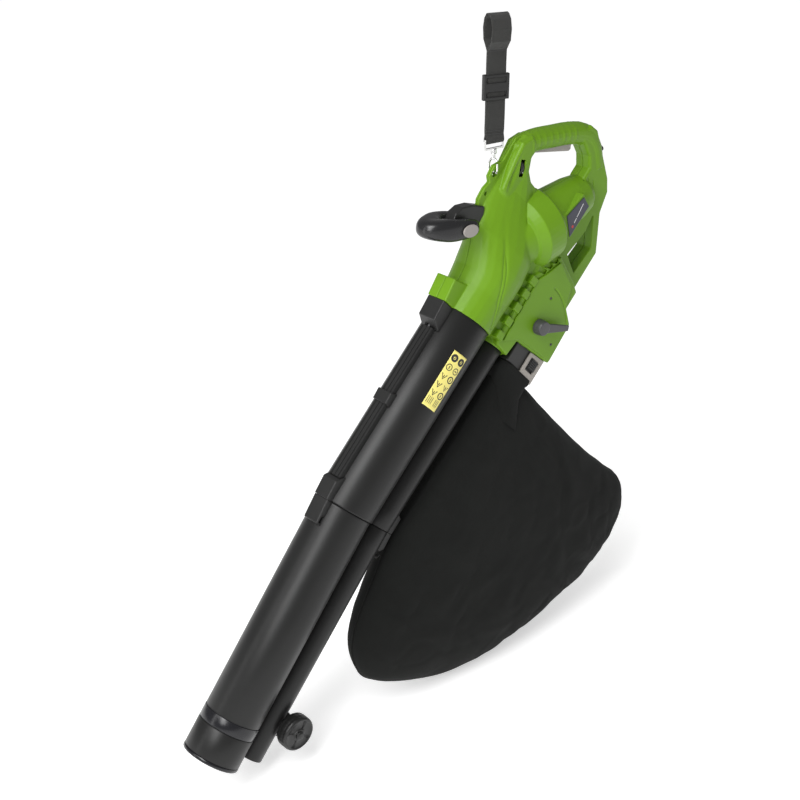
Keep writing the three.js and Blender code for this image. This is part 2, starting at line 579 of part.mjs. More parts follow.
// ---- motor and fan, along the motor axis ----
const bladeRing = [];
for (let i = 0; i < 8; i += 1) {
  bladeRing.push(box(7.5, 24, -1.4, 1.4, 14, 58).rotate([45 * i, 0, 0]));
}
const fanDisc = turned([[4, 5.3], [4, 60], [8, 60], [8, 18], [30, 12], [30, 5.3]], 36);
piece(motor, 'impeller', 'black', join(fanDisc, ...bladeRing));
piece(motor, 'rotor', 'steel', turned([
  [0, 0], [0, 5], [60, 5], [60, 21], [110, 21], [110, 5], [134, 5], [134, 9], [144, 9], [144, 5],
  [150, 5], [150, 0],
], 28));
piece(motor, 'motor_stator', 'copper', pipe(56, 114, 35, 35, 13, 32));
piece(motor, 'bearing_front', 'steel', pipe(44, 52, 13, 13, 7.7, 24));
piece(motor, 'bearing_rear', 'steel', pipe(124, 131, 11, 11, 5.7, 24));
const fanProfile = [[116, 5.3], [116, 28], [119, 29], [121, 14], [122.5, 9], [122.5, 5.3]];
piece(motor, 'cooling_fan', 'dark', turned(fanProfile, 28));
for (const [name, side] of [['left', -1], ['right', 1]]) {
  const [y0, y1] = side < 0 ? [-22, -9.8] : [9.8, 22];
  piece(motor, `brush_holder_${name}`, 'dark', box(135, 143, y0, y1, -4, 4));
}

// ---- shoulder strap, from the lug upwards ----
const ringPath = new THREE.CatmullRomCurve3([
  [0, 0, 0], [0, 7, 1.5], [0, 10, 8], [0, 9, 18], [0, 3, 25], [0, -3, 25.5], [0, -8.5, 21],
].map((p) => new THREE.Vector3(...p)));
const wire = new THREE.Shape().absarc(0, 0, 2, 0, 2 * Math.PI);
const wireSweep = { steps: 18, extrudePath: ringPath, curveSegments: 4 };
const hookWire = solid(new THREE.ExtrudeGeometry(wire, wireSweep));
const hookNose = bar([0, 0.5, 0], [0, -8.5, 2.5], 2, 2, 12);
const hookNeck = bar([0, 0, 24.5], [0, 0, 34], 3.2, 2.6, 16);
const hookCollar = bar([0, 0, 33], [0, 0, 35], 4.6, 4.6, 16);
piece(strap, 'snap_hook', 'steel', join(hookWire, hookNose, hookNeck, hookCollar));
piece(strap, 'hook_gate', 'steel', bar([0, -9.6, 5.2], [0, -9.3, 17.6], 1.5, 1.5, 12));

const web = new THREE.Group();
web.rotation.z = degToRad(STRAP_TURN);
strap.add(web);
const frameOut = plate([[-20.4, 41], [20.4, 41], [20.4, 60], [-20.4, 60]], -2, 2, 1);
const frameIn = box(-17.9, 17.9, -5, 5, 44.5, 57);
const swivel = cut(bar([0, 0, 35.6], [0, 0, 42], 5.4, 4.6, 20), bar([0, 0, 35], [0, 0, 38], 3, 3, 16));
piece(web, 'strap_eye', 'steel', cut(join(frameOut, swivel), frameIn));

// The webbing: its outline across the thickness, with a loop at each end.
function webOutline() {
  const half = STRAP_T / 2;
  const right = [[5.2, 59], [5.2, 54.5], [3, 51.4]];
  const outline = [
    ...right.reverse(), [half, 68], [half, 205], [15, 219], [17.2, 239], [13.4, 255], [0, STRAP_TOP],
  ];
  const left = outline.slice().reverse().map(([a, b]) => [-a, b]);
  return [...outline, ...left.slice(1)];
}
const eyeLoop = [[-2.7, 54.8], [2.7, 54.8], [2.7, 63.8], [-2.7, 63.8]];
const topLoop = [
  [0, 208], [12.4, 220], [14.6, 238.6], [11, 253], [0, 260.5], [-11, 253], [-14.6, 238.6], [-12.4, 220],
];
const webSide = cut(
  plate(webOutline(), -STRAP_W / 2, STRAP_W / 2),
  plate(eyeLoop, -STRAP_W, STRAP_W), plate(topLoop, -STRAP_W, STRAP_W),
);
piece(web, 'strap_webbing', 'webbing', webSide.rotate([0, 0, 90]));
const sliderFrame = plate([[-23.5, 124], [23.5, 124], [23.5, 166], [-23.5, 166]], -4.5, 4.5, 1.5);
const [roomW, roomT] = [STRAP_W / 2 + 0.6, STRAP_T / 2 + 0.4];
const sliderRoom = box(-roomW, roomW, -roomT, roomT, 110, 180);
const sliderWindows = [[129, 138], [152, 161]].map(([z0, z1]) => box(-18.6, 18.6, -6, 6, z0, z1));
piece(web, 'strap_slider', 'black', cut(sliderFrame, sliderRoom, ...sliderWindows));

export default model;
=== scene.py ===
# Looks for the garden blower vacuum: smooth mouldings, fabric bag, webbing strap, lamps and camera.
import json
import math

import bmesh
import bpy
import numpy as np
from mathutils import Matrix, Vector, noise

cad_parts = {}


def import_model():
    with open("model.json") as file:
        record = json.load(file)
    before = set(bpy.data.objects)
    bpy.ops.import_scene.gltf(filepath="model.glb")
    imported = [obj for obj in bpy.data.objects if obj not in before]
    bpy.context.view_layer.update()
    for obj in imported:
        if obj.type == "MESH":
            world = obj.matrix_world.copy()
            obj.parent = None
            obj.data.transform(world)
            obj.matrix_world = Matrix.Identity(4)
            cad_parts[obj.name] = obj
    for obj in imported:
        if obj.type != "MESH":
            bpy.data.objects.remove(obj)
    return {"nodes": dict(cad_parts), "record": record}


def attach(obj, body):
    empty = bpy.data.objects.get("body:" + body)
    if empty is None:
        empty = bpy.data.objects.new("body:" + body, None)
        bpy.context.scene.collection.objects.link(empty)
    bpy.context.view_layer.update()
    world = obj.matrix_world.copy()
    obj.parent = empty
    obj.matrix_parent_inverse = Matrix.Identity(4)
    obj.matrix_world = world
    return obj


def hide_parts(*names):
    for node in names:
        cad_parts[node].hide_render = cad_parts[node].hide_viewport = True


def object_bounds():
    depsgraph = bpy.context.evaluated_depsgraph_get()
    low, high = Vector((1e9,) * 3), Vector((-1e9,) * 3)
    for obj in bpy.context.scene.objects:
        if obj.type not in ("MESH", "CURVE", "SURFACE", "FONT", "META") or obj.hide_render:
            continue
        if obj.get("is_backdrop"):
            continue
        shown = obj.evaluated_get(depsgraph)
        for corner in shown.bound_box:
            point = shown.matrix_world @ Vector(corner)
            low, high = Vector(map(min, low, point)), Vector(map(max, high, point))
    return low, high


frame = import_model()
record = frame["record"]
joints = {j["name"]: j for j in record["behaviour"]["joints"]}
body_of_node = {n: b for b, nodes in record["behaviour"]["bodies"].items() for n in nodes}
slot_of_node = {s["node"]: s["material_slot"] for s in record["subparts"]}


def note_size():
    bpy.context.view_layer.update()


note_size()

# ---- places, in millimetres of the tool frame (X up the tubes, Z to the rail side, -Y the left side) ----
LEAN = math.radians(45.6)  # slope of the upper tubes
KINK = math.radians(5.4)  # bend between the upper and the lower tubes
MITRE = math.tan(KINK / 2)  # slope of the cut where they meet
VAC_R = 54.5  # outside of the upper vacuum tube
COVER_Y = -43.4  # just outside the face of the side cover
HUB = (457, -137)  # selector spindle
U = Vector((math.cos(LEAN), 0, math.sin(LEAN)))
V = Vector((-math.sin(LEAN), 0, math.cos(LEAN)))
hub = Vector(joints["selector_turn"]["pos_m"])
SEAM = Vector((hub.x, 0, hub.z)) - U * (HUB[0] / 1000) - V * (HUB[1] / 1000)
LUG = Vector(joints["hook_swivel"]["pos_m"])
EYE_TURN, STRAP_TURN = -6, -18  # degrees about the vertical
TWIST_FROM, TWIST_LENGTH = 50, 24  # mm above the lug


def tool(x, y, z):
    """A point given in the tool frame."""
    return SEAM + U * (x / 1000) + V * (z / 1000) + Vector((0, y / 1000, 0))


def lower(x, y, z):
    """A point given along the lower tubes, which bend away at the seam."""
    c, s = math.cos(KINK), math.sin(KINK)
    return tool(c * x - s * z, y, s * x + c * z)


def strap_at(x, y, z):
    """A point of the webbing, in mm from the lug; the webbing twists a little above the metal eye."""
    climbed = min(1, max(0, (z - TWIST_FROM) / TWIST_LENGTH))
    turn = math.radians(EYE_TURN + (STRAP_TURN - EYE_TURN) * climbed)
    c, s = math.cos(turn), math.sin(turn)
    return LUG + Vector((c * x - s * y, s * x + c * y, z)) / 1000


def both_sides(points):
    left = [tool(x, -y, z) for x, y, z in points]
    right = [tool(x, y, z) for x, y, z in points]
    return left, right


# ---- curves ----
def signed_power(value, power):
    """Squares off or pinches a circle's sine or cosine."""
    return math.copysign(abs(value) ** power, value)


def spline(rows, t):
    """Catmull-Rom through rows of numbers, t from 0 to 1."""
    s = t * (len(rows) - 1)
    i = min(int(s), len(rows) - 2)
    f = s - i
    p = [np.array(rows[min(max(i + k, 0), len(rows) - 1)], float) for k in (-1, 0, 1, 2)]
    return 0.5 * (2 * p[1] + (p[2] - p[0]) * f + (2 * p[0] - 5 * p[1] + 4 * p[2] - p[3]) * f ** 2
                  + (3 * p[1] - p[0] - 3 * p[2] + p[3]) * f ** 3)


def bow(start, middle, end, steps):
    """Points of a quadratic curve from start to end, pulled towards middle."""
    points = []
    for k in range(steps + 1):
        t = k / steps
        near, between, far = (1 - t) ** 2, 2 * t * (1 - t), t * t
        points.append([near * a + between * b + far * c for a, b, c in zip(start, middle, end)])
    return points


# ---- camera ----
LENS = 61.4
VIEW_RIGHT, VIEW_UP = Vector((0.749, -0.663, 0.0)), Vector((0.290, 0.327, 0.899))
CAMERA_OFFSET = (0.0957, 0.1831, 2.311)  # metres from the seam, along the view's right, up and back


def add_camera():
    right = VIEW_RIGHT.normalized()
    up = (VIEW_UP - right * VIEW_UP.dot(right)).normalized()
    back = right.cross(up)
    data = bpy.data.cameras.new("camera")
    data.lens = LENS
    camera = bpy.data.objects.new("camera", data)
    placed = Matrix((right, up, back)).transposed().to_4x4()
    placed.translation = SEAM + right * CAMERA_OFFSET[0] + up * CAMERA_OFFSET[1] + back * CAMERA_OFFSET[2]
    camera.matrix_world = placed
    bpy.context.scene.collection.objects.link(camera)
    bpy.context.scene.camera = camera


add_camera()


# ---- materials ----
def nodes_of(name):
    made = bpy.data.materials.new(name)
    made.use_nodes = True
    tree = made.node_tree
    return made, tree, tree.nodes["Principled BSDF"]


def add(tree, kind, **values):
    """A new shader node; each value goes to the input of that name, or else to the node's setting."""
    node = tree.nodes.new(kind)
    for key, value in values.items():
        if key in node.inputs:
            node.inputs[key].default_value = value
        else:
            setattr(node, key, value)
    return node


def pattern(tree, place, kind="ShaderNodeTexNoise", **values):
    """A noise or wave texture fixed to the object."""
    node = add(tree, kind, **values)
    tree.links.new(place.outputs["Object"], node.inputs["Vector"])
    return node


def ranged(tree, source, low, high):
    """The source's 0 to 1 stretched to run from low to high."""
    node = add(tree, "ShaderNodeMapRange")
    node.inputs["To Min"].default_value = low
    node.inputs["To Max"].default_value = high
    tree.links.new(source.outputs["Fac"], node.inputs["Value"])
    return node.outputs["Result"]


def emboss(tree, shader, height, strength, distance):
    relief = add(tree, "ShaderNodeBump", Strength=strength, Distance=distance)
    tree.links.new(height.outputs["Fac"], relief.inputs["Height"])
    tree.links.new(relief.outputs["Normal"], shader.inputs["Normal"])


def surface(name, color, rough, metal=0.0, grain=900.0, bump=0.05, mottle=0.08, spread=0.08, gloss=0.5):
    """A moulded or metal surface: faint mottling in colour and roughness, and a fine grain."""
    made, tree, shader = nodes_of(name)
    link = tree.links.new
    place = add(tree, "ShaderNodeTexCoord")
    cloud = pattern(tree, place, Scale=14.0, Detail=4.0)
    tint = add(tree, "ShaderNodeMix", data_type="RGBA", blend_type="MULTIPLY")
    tint.inputs["Factor"].default_value = 1.0
    tint.inputs[6].default_value = (*color, 1.0)
    link(ranged(tree, cloud, 1.0 - mottle, 1.0 + mottle), tint.inputs[7])
    link(tint.outputs[2], shader.inputs["Base Color"])
    link(ranged(tree, cloud, max(0.02, rough - spread), min(1.0, rough + spread)), shader.inputs["Roughness"])
    emboss(tree, shader, pattern(tree, place, Scale=grain, Detail=2.0), bump, 0.0004)
    shader.inputs["Metallic"].default_value = metal
    shader.inputs["Specular IOR Level"].default_value = gloss
    return made


def cloth(name, color, scale, strength, ribbed=False, sheen=0.15, gloss=0.3):
    """Fabric: fine fibre noise, or a woven rib across the width."""
    made, tree, shader = nodes_of(name)
    link = tree.links.new
    place = add(tree, "ShaderNodeTexCoord")
    if ribbed:
        weave = pattern(tree, place, "ShaderNodeTexWave", Scale=scale, Distortion=1.2, Detail=2.0,
                        wave_type="BANDS", bands_direction="Z")
    else:
        weave = pattern(tree, place, Scale=scale, Detail=6.0, Roughness=0.7)
    cloud = pattern(tree, place, Scale=9.0, Detail=3.0)
    blend = add(tree, "ShaderNodeMath", operation="MULTIPLY")
    link(weave.outputs["Fac"], blend.inputs[0])
    link(cloud.outputs["Fac"], blend.inputs[1])
    boost = add(tree, "ShaderNodeMath", operation="MULTIPLY")
    boost.inputs[1].default_value = 2.0
    link(blend.outputs[0], boost.inputs[0])
    ramp = add(tree, "ShaderNodeValToRGB")
    for stop, brightness in zip(ramp.color_ramp.elements, (0.6, 1.35)):
        stop.color = (*[c * brightness for c in color], 1)
    link(boost.outputs[0], ramp.inputs["Fac"])
    link(ramp.outputs["Color"], shader.inputs["Base Color"])
    emboss(tree, shader, weave, strength, 0.0008)
    shader.inputs["Roughness"].default_value = 0.95
    shader.inputs["Sheen Weight"].default_value = sheen
    shader.inputs["Specular IOR Level"].default_value = gloss
    return made


HARD_LOOKS = {
    "green_plastic": dict(color=(0.126, 0.268, 0.008), rough=0.44, mottle=0.05, gloss=0.28),
    "black_plastic": dict(color=(0.014, 0.014, 0.0138), rough=0.42, bump=0.08, gloss=0.4),
    "tube_plastic": dict(color=(0.012, 0.012, 0.0118), rough=0.38, grain=600, bump=0.03, gloss=0.27,
                         spread=0.03),
    "gloss_black": dict(color=(0.008, 0.008, 0.010), rough=0.24, bump=0.01, gloss=0.4, spread=0.03),
    "soft_black": dict(color=(0.013, 0.013, 0.014), rough=0.27, bump=0.03, gloss=0.42),
    "grey_plastic": dict(color=(0.30, 0.275, 0.25), rough=0.5),
    "pale_plastic": dict(color=(0.29, 0.268, 0.25), rough=0.45),
    "dark_grey_plastic": dict(color=(0.052, 0.052, 0.054), rough=0.4),
    "steel": dict(color=(0.75, 0.75, 0.74), rough=0.2, metal=1.0, bump=0.01, mottle=0.03),
    "steel_and_copper": dict(color=(0.45, 0.22, 0.12), rough=0.35, metal=0.9),
    "yellow_label": dict(color=(0.78, 0.69, 0.19), rough=0.4, mottle=0.03),
    "badge": dict(color=(0.030, 0.032, 0.052), rough=0.35),
    "thread": dict(color=(0.05, 0.05, 0.05), rough=0.8),
    "ink": dict(color=(0.02, 0.02, 0.02), rough=0.6),
    "white_mark": dict(color=(0.75, 0.75, 0.75), rough=0.5),
    "red_mark": dict(color=(0.55, 0.02, 0.02), rough=0.45),
}
FABRIC_LOOKS = {
    "bag_fabric": dict(color=(0.0090, 0.0095, 0.0088), scale=700.0, strength=0.35, sheen=0.02, gloss=0.15),
    "webbing": dict(color=(0.030, 0.030, 0.028), scale=420.0, strength=0.6, ribbed=True),
}
LOOKS = {name: surface(name, **values) for name, values in HARD_LOOKS.items()}
LOOKS.update({name: cloth(name, **values) for name, values in FABRIC_LOOKS.items()})


def dress_nodes():
    """Each CAD node gets its slot's look, apart from the interlock rod, which is dark grey."""
    for name, obj in frame["nodes"].items():
        look = "dark_grey_plastic" if name == "interlock_rod" else slot_of_node[name]
        obj.data.materials.clear()
        obj.data.materials.append(LOOKS[look])


dress_nodes()


# ---- mesh tools ----
def piece(name, verts, faces, look, rides="machine", smooth=True, stands_for=()):
    mesh = bpy.data.meshes.new(name)
    mesh.from_pydata([tuple(v) for v in verts], [], faces)
    mesh.update()
    work = bmesh.new()
    work.from_mesh(mesh)
    bmesh.ops.recalc_face_normals(work, faces=work.faces)
    work.to_mesh(mesh)
    work.free()
    obj = bpy.data.objects.new(name, mesh)
    bpy.context.scene.collection.objects.link(obj)
    mesh.materials.append(LOOKS[look])
    mesh.polygons.foreach_set("use_smooth", [smooth] * len(mesh.polygons))
    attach(obj, rides)
    if stands_for:
        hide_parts(*stands_for)
    return obj


def grid_faces(rows, columns, close_rows=False):
    """Faces between rings of points, and from the last ring to the first where close_rows is true."""
    faces = []
    for i in range(rows if close_rows else rows - 1):
        for j in range(columns):
            k, n = (i + 1) % rows, (j + 1) % columns
            faces.append((i * columns + j, i * columns + n, k * columns + n, k * columns + j))
    return faces


def end_caps(rows, columns):
    return [tuple(range(columns)), tuple(range((rows - 1) * columns, rows * columns))]


def turned(count, j):
    """Cosine and sine of step j of a turn in count steps."""
    angle = 2 * math.pi * j / count
    return math.cos(angle), math.sin(angle)


def round_tube(name, stations, place, look, node=None, segments=112):
    """A tube through stations (x, z, radius, slope of cut): out along one skin and back along the other."""
    verts = []
    for x, z, radius, slope in stations:
        for j in range(segments):
            c, s = turned(segments, j)
            rise = radius * c
            verts.append(place(x - slope * (z + rise), -radius * s, z + rise))
    faces = grid_faces(len(stations), segments, close_rows=True)
    piece(name, verts, faces, look, stands_for=[node] if node else [])


def round_cord(name, path, radius, look, sides=8):
    """A thin round cord along a path of points."""
    verts = []
    for i, point in enumerate(path):
        ahead = (path[min(i + 1, len(path) - 1)] - path[max(i - 1, 0)]).normalized()
        across = ahead.cross(Vector((0, 1, 0)))
        across = across.normalized() if across.length > 1e-6 else Vector((1, 0, 0))
        other = ahead.cross(across).normalized()
        for j in range(sides):
            c, s = turned(sides, j)
            verts.append(point + across * radius * c + other * radius * s)
    piece(name, verts, grid_faces(len(path), sides) + end_caps(len(path), sides), look)


def arrays(mesh):
    """The places and the normals of a mesh's vertices, one row each."""
    co, no = np.empty(len(mesh.vertices) * 3), np.empty(len(mesh.vertices) * 3)
    mesh.vertices.foreach_get("co", co)
    mesh.vertices.foreach_get("normal", no)
    return co.reshape(-1, 3), no.reshape(-1, 3)


def apply_modifiers(obj):
    graph = bpy.context.evaluated_depsgraph_get()
    result = bpy.data.meshes.new_from_object(obj.evaluated_get(graph))
    obj.modifiers.clear()
    obj.vertex_groups.clear()
    obj.data = result


def smoothing(obj, passes, group=""):
    ease = obj.modifiers.new("ease", "SMOOTH")
    ease.factor = 0.5
    ease.iterations = passes
    ease.vertex_group = group


def rounded(node, voxel, passes, carve=None, spin=0.0, soften=None):
    """A copy of a CAD node with its edges softened, shown in place of the node."""
    mesh = frame["nodes"][node].data.copy()
    mesh.name = node + "_skin"
    if spin:
        about = Matrix.Translation((LUG.x, LUG.y, 0))
        mesh.transform(about @ Matrix.Rotation(math.radians(spin), 4, "Z") @ about.inverted())
    obj = bpy.data.objects.new(node + "_skin", mesh)
    bpy.context.scene.collection.objects.link(obj)
    weld = obj.modifiers.new("remesh", "REMESH")
    weld.mode = "VOXEL"
    weld.voxel_size = voxel
    smoothing(obj, passes)
    apply_modifiers(obj)
    if soften:
        places, _ = arrays(obj.data)
        group = obj.vertex_groups.new(name="soft")
        group.add([int(i) for i in np.nonzero(soften(places))[0]], 1.0, "REPLACE")
        smoothing(obj, 70, "soft")
        apply_modifiers(obj)
    if carve:
        carve(obj.data)
    obj.data.materials.clear()
    obj.data.materials.append(LOOKS[slot_of_node[node]])
    obj.data.polygons.foreach_set("use_smooth", [True] * len(obj.data.polygons))
    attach(obj, body_of_node[node])
    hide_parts(node)


def press_lines(lines):
    """Moves a skin out, or in for a negative height, along lines (points, half width, height) in metres."""
    def carve(mesh):
        co, no = arrays(mesh)
        for points, width, height in lines:
            nearest = np.full(len(co), 1e9)
            for a, b in zip(points, points[1:]):
                a, b = np.array(a), np.array(b)
                t = np.clip(((co - a) @ (b - a)) / ((b - a) @ (b - a)), 0, 1)
                nearest = np.minimum(nearest, np.linalg.norm(co - a - t[:, None] * (b - a), axis=1))
            co += no * (height * np.exp(-((nearest / width) ** 2)))[:, None]
        mesh.vertices.foreach_set("co", co.ravel())
        mesh.update()
    return carve


# ---- housing and small mouldings ----
def grip_ripples():
    """Rings round the top of the main grip."""
    rings = []
    for k in range(8):
        x, z = 684 + 10.4 * k, 92 - 11.2 * k
        ring = []
        for turn in range(-120, 121, 12):
            out, side = 20 * math.cos(math.radians(turn)), 20 * math.sin(math.radians(turn))
            ring.append(tool(x + 0.725 * out, side, z + 0.69 * out))
        rings.append((ring, 0.0030, 0.0008))
    return rings


def nose_lines():
    """A sunken crease and a raised strip down both flanks of the nose."""
    crease = [(668, 12, 108), (620, 20, 96), (575, 30, 82), (538, 42, 62), (505, 50, 42), (470, 56, 20),
              (438, 56, 4), (394, 52, -20)]
    strip = [(655, 8, 113), (600, 13, 108), (560, 20, 102), (530, 30, 92), (505, 38, 74)]
    lines = [(side, 0.0042, -0.0030) for side in both_sides(crease)]
    return lines + [(side, 0.003, 0.0012) for side in both_sides(strip)]


FAN_CENTRE, FAN_AXIS = (572.5, -16.4), (0.866, -0.5)  # X and Z


def nose_skin(co):
    """Which points lie on the plain flanks of the nose, clear of ribs, keel, block and fan ring."""
    away = co - np.array(SEAM)
    x, y, z = away @ np.array(U) * 1000, np.abs(away[:, 1]) * 1000, away @ np.array(V) * 1000
    past_fan = (x - FAN_CENTRE[0]) * FAN_AXIS[0] + (z - FAN_CENTRE[1]) * FAN_AXIS[1]
    keep = (x > 390) & (x < 592) & (z > -42)
    keep &= ~((x < 436) & (z > 46) & (y < 26))
    keep &= ~((y < 9) & (z > 80))
    keep &= ~((past_fan > -20) & (z < 40))
    return keep & (y > 1.5)


def mouldings():
    groove = [tool(x, COVER_Y, z) for x, z in bow((529, -123), (531, -165), (496, -205), 12)]
    rounded("diverter_cover", 0.0007, 3, press_lines([(groove, 0.0016, -0.0016)]))
    housing_lines = press_lines(nose_lines() + grip_ripples())
    for side in ("left", "right"):
        rounded(f"housing_{side}", 0.0009, 3, housing_lines, soften=nose_skin)
    for node, voxel, passes in (
        ("selector_lever", 0.0007, 4), ("outlet_duct", 0.001, 3),
        ("bag_adapter", 0.0006, 3), ("interlock_cover", 0.0008, 4),
        ("rail_clip", 0.0006, 3), ("joint_block_upper", 0.0007, 4),
        ("joint_block_lower", 0.0007, 4), ("joint_lug_upper", 0.0008, 4), ("joint_lug_lower", 0.0008, 4),
        ("bag_hook", 0.0005, 3), ("wheel_bracket", 0.0008, 3), ("handle_bracket", 0.0008, 6),
        ("trigger", 0.0007, 4), ("cable_gland", 0.0005, 3), ("strap_slider", 0.0006, 4),
        ("pivot_cap_left", 0.0005, 4), ("pivot_cap_right", 0.0005, 4), ("speed_dial", 0.0004, 2),
    ):
        rounded(node, voxel, passes)


mouldings()


# ---- tubes ----
def tubes():
    round_tube("upper_vac_skin", [
        (0.4, 0, VAC_R - 3, MITRE), (0.4, 0, VAC_R - 1, MITRE), (1.2, 0, VAC_R - 0.2, MITRE),
        (3, 0, VAC_R, MITRE), (40, 0, VAC_R, 0), (200, 0, VAC_R, 0), (424, 0, VAC_R, 0),
        (425, 0, VAC_R - 1, 0), (425, 0, VAC_R - 3, 0), (200, 0, VAC_R - 3, 0), (40, 0, VAC_R - 3, 0),
    ], tool, "tube_plastic", "upper_vac_tube")
    round_tube("lower_vac_skin", [
        (-0.4, 0, 48.8, -MITRE), (-0.4, 0, 50.6, -MITRE), (-1.2, 0, 51.4, -MITRE), (-4, 0, 51.6, -MITRE),
        (-40, 0, 51.4, 0), (-200, 0, 50.9, 0), (-393, 0, 50.3, 0), (-394, 0, 49.8, 0), (-468, 0, 49.6, 0),
        (-468, 0, 47.2, 0), (-200, 0, 48, 0), (-40, 0, 48.8, 0),
    ], lower, "tube_plastic", "lower_vac_tube")
    round_tube("band_skin", [
        (-394.4, 0, 49.95, 0), (-394.4, 0, 50.6, 0), (-395.2, 0, 50.9, 0), (-405, 0, 50.9, 0),
        (-415, 0, 50.9, 0), (-415.6, 0, 50.5, 0), (-415.6, 0, 49.9, 0), (-405, 0, 49.9, 0),
    ], lower, "gloss_black", "nozzle_band")
    round_tube("mouth_sleeve", [
        (-416.4, 0, 49.9, 0), (-416.4, 0, 50.5, 0), (-417.2, 0, 50.9, 0), (-440, 0, 50.85, 0),
        (-467.2, 0, 50.8, 0), (-468, 0, 50.4, 0), (-468, 0, 49.8, 0), (-440, 0, 49.8, 0),
    ], lower, "tube_plastic")
    round_tube("mouth_skin", [
        (-468.4, 0, 50.4, 0), (-469, 0, 51.1, 0), (-471, 0, 51.3, 0), (-473.6, 0, 51.1, 0),
        (-474.8, 0, 50.2, 0), (-475, 0, 48.9, 0), (-474.6, 0, 47.6, 0), (-472, 0, 47.1, 0),
        (-468.4, 0, 47.1, 0),
    ], lower, "gloss_black", "mouth_ring")
    round_tube("upper_blow_skin", [
        (0.4, -88.6, 26.6, MITRE), (0.4, -88.6, 28.2, MITRE), (1.4, -88.6, 29, MITRE),
        (40, -88.8, 29.2, 0), (220, -89.9, 30.1, 0), (424, -91, 31, 0), (425, -91, 30, 0),
        (425, -91, 28.5, 0), (220, -89.9, 27.6, 0), (40, -88.8, 26.8, 0),
    ], tool, "tube_plastic", "upper_blow_tube", 80)
    round_tube("lower_blow_skin", [
        (-0.4, -88.1, 26.2, -MITRE), (-0.4, -88.1, 27.8, -MITRE), (-1.4, -88.1, 28.6, -MITRE),
        (-40, -87.7, 28.3, 0), (-240, -85.9, 26.4, 0), (-455.5, -84, 24.5, 0), (-456.6, -84, 24, 0),
        (-457, -84, 22.4, 0), (-240, -85.9, 24.1, 0), (-40, -87.7, 26, 0),
    ], lower, "tube_plastic", "lower_blow_tube", 80)


tubes()


# ---- wheels ----
WHEEL = [  # distance from the middle plane and radius, round the section of the wheel
    (26.4, 4.4), (26.4, 26.6), (27.0, 28.4), (28.6, 30.6), (30.6, 31.6), (33.0, 31.9), (34.2, 31.2),
    (35.4, 31.9), (43.6, 31.9), (44.8, 31.2), (46.0, 31.9), (48.4, 31.6), (50.6, 30.6), (52.2, 28.4),
    (52.2, 27.0), (51.4, 26.2), (50.6, 25.2), (50.6, 12.4), (51.2, 11.4), (52.8, 10.8), (53.4, 10.2),
    (53.4, 4.4),
]


def wheel(side):
    """A wheel with a notched tread and four shallow pockets in its outer face."""
    sign = -1 if side == "left" else 1
    centre = Vector(joints[f"wheel_{side}_spin"]["pos_m"])
    segments = 96
    verts = []
    for away, radius in WHEEL:
        for j in range(segments):
            c, s = turned(segments, j)
            in_tread = radius > 31 and j % 4 == 0
            in_pocket = 12 < radius < 26 and away > 50 and 12 < (j % 24) < 17
            r = radius - 0.5 if in_tread else radius
            y = away - 1.6 if in_pocket else away
            verts.append(Vector((centre.x, 0, centre.z)) + Vector((r * c, sign * y, r * s)) / 1000)
    faces = grid_faces(len(WHEEL), segments, close_rows=True)
    name = f"wheel_{side}"
    piece(name + "_skin", verts, faces, "black_plastic", name, stands_for=[name])


for side in ("left", "right"):
    wheel(side)
    rounded(f"hub_cap_{side}", 0.0004, 3)


# ---- collecting bag ----
BAG = (  # stations across the bag: Z, lowest X, highest X and half thickness
    (-138, 20, 368, 14), (-152, -34, 369, 36), (-200, -180, 368, 54), (-262, -233, 366, 68),
    (-330, -231, 361, 74), (-400, -203, 358, 76), (-500, -143, 356, 72), (-590, -40, 359, 62),
    (-650, 52, 362, 50), (-700, 144, 336, 34), (-730, 228, 288, 12),
)
NECK = (  # rings from the adapter down into the bag: X, top Z, bottom Z and half width
    (376, -128, -222, 35.6), (373, -127, -223.5, 36.6), (366, -127, -223.5, 36.8), (361, -129, -223, 35.8),
    (338, -139, -228, 37), (315, -152, -242, 44), (285, -170, -262, 50),
)
BAG_MOUTH = (380, -110)  # X and Z that the folds fan out from


def bag_relief(x, z, s, edge):
    """How far the cloth stands out, in mm: folds that fan out from the mouth, ridges and crumples."""
    front = s > 0
    dx, dz = x - BAG_MOUTH[0], z - BAG_MOUTH[1]
    reach = math.hypot(dx, dz)
    fan = math.atan2(dz, dx)
    folds = 3.6 * math.sin(fan * 11 + 4.5 * noise.noise(Vector((fan * 3, reach / 200, 1.7))))
    folds += 1.6 * math.sin(fan * 27 + 5.0 * noise.noise(Vector((fan * 6, reach / 120, 4.1))))
    folds *= min(1.0, reach / 260) * edge
    for size, deep in ((110, 2.4), (62, 1.5)):
        ridge = noise.noise(Vector((x / size, z / (size * 1.6), size * (1 if front else 2))))
        folds -= deep * edge * max(0.0, 1 - abs(ridge) * 8)
    crumple = 5.0 * noise.noise(Vector((x / 95, z / 130, 7.0 if front else 2.0)))
    crumple += 2.4 * noise.noise(Vector((x / 36, z / 48, 3.0 if front else 9.0)))
    return (folds + crumple * edge) * 0.8


def bag_point(t, turn):
    """A point of the bag, t of the way across it and turned round its section."""
    z, low, high, half = spline(BAG, t)
    c, s = math.cos(turn), math.sin(turn)
    x = (low + high) / 2 + (high - low) / 2 * signed_power(c, 0.78)
    y = half * signed_power(s, 0.95)
    if abs(s) > 1e-6:
        y += math.copysign(bag_relief(x, z, s, abs(s) ** 0.7), s)
    grow = 1 + 3.0 * noise.noise(Vector((x / 70, z / 70, 12.0))) / 260
    return tool((x - 150) * grow + 150, y, z)


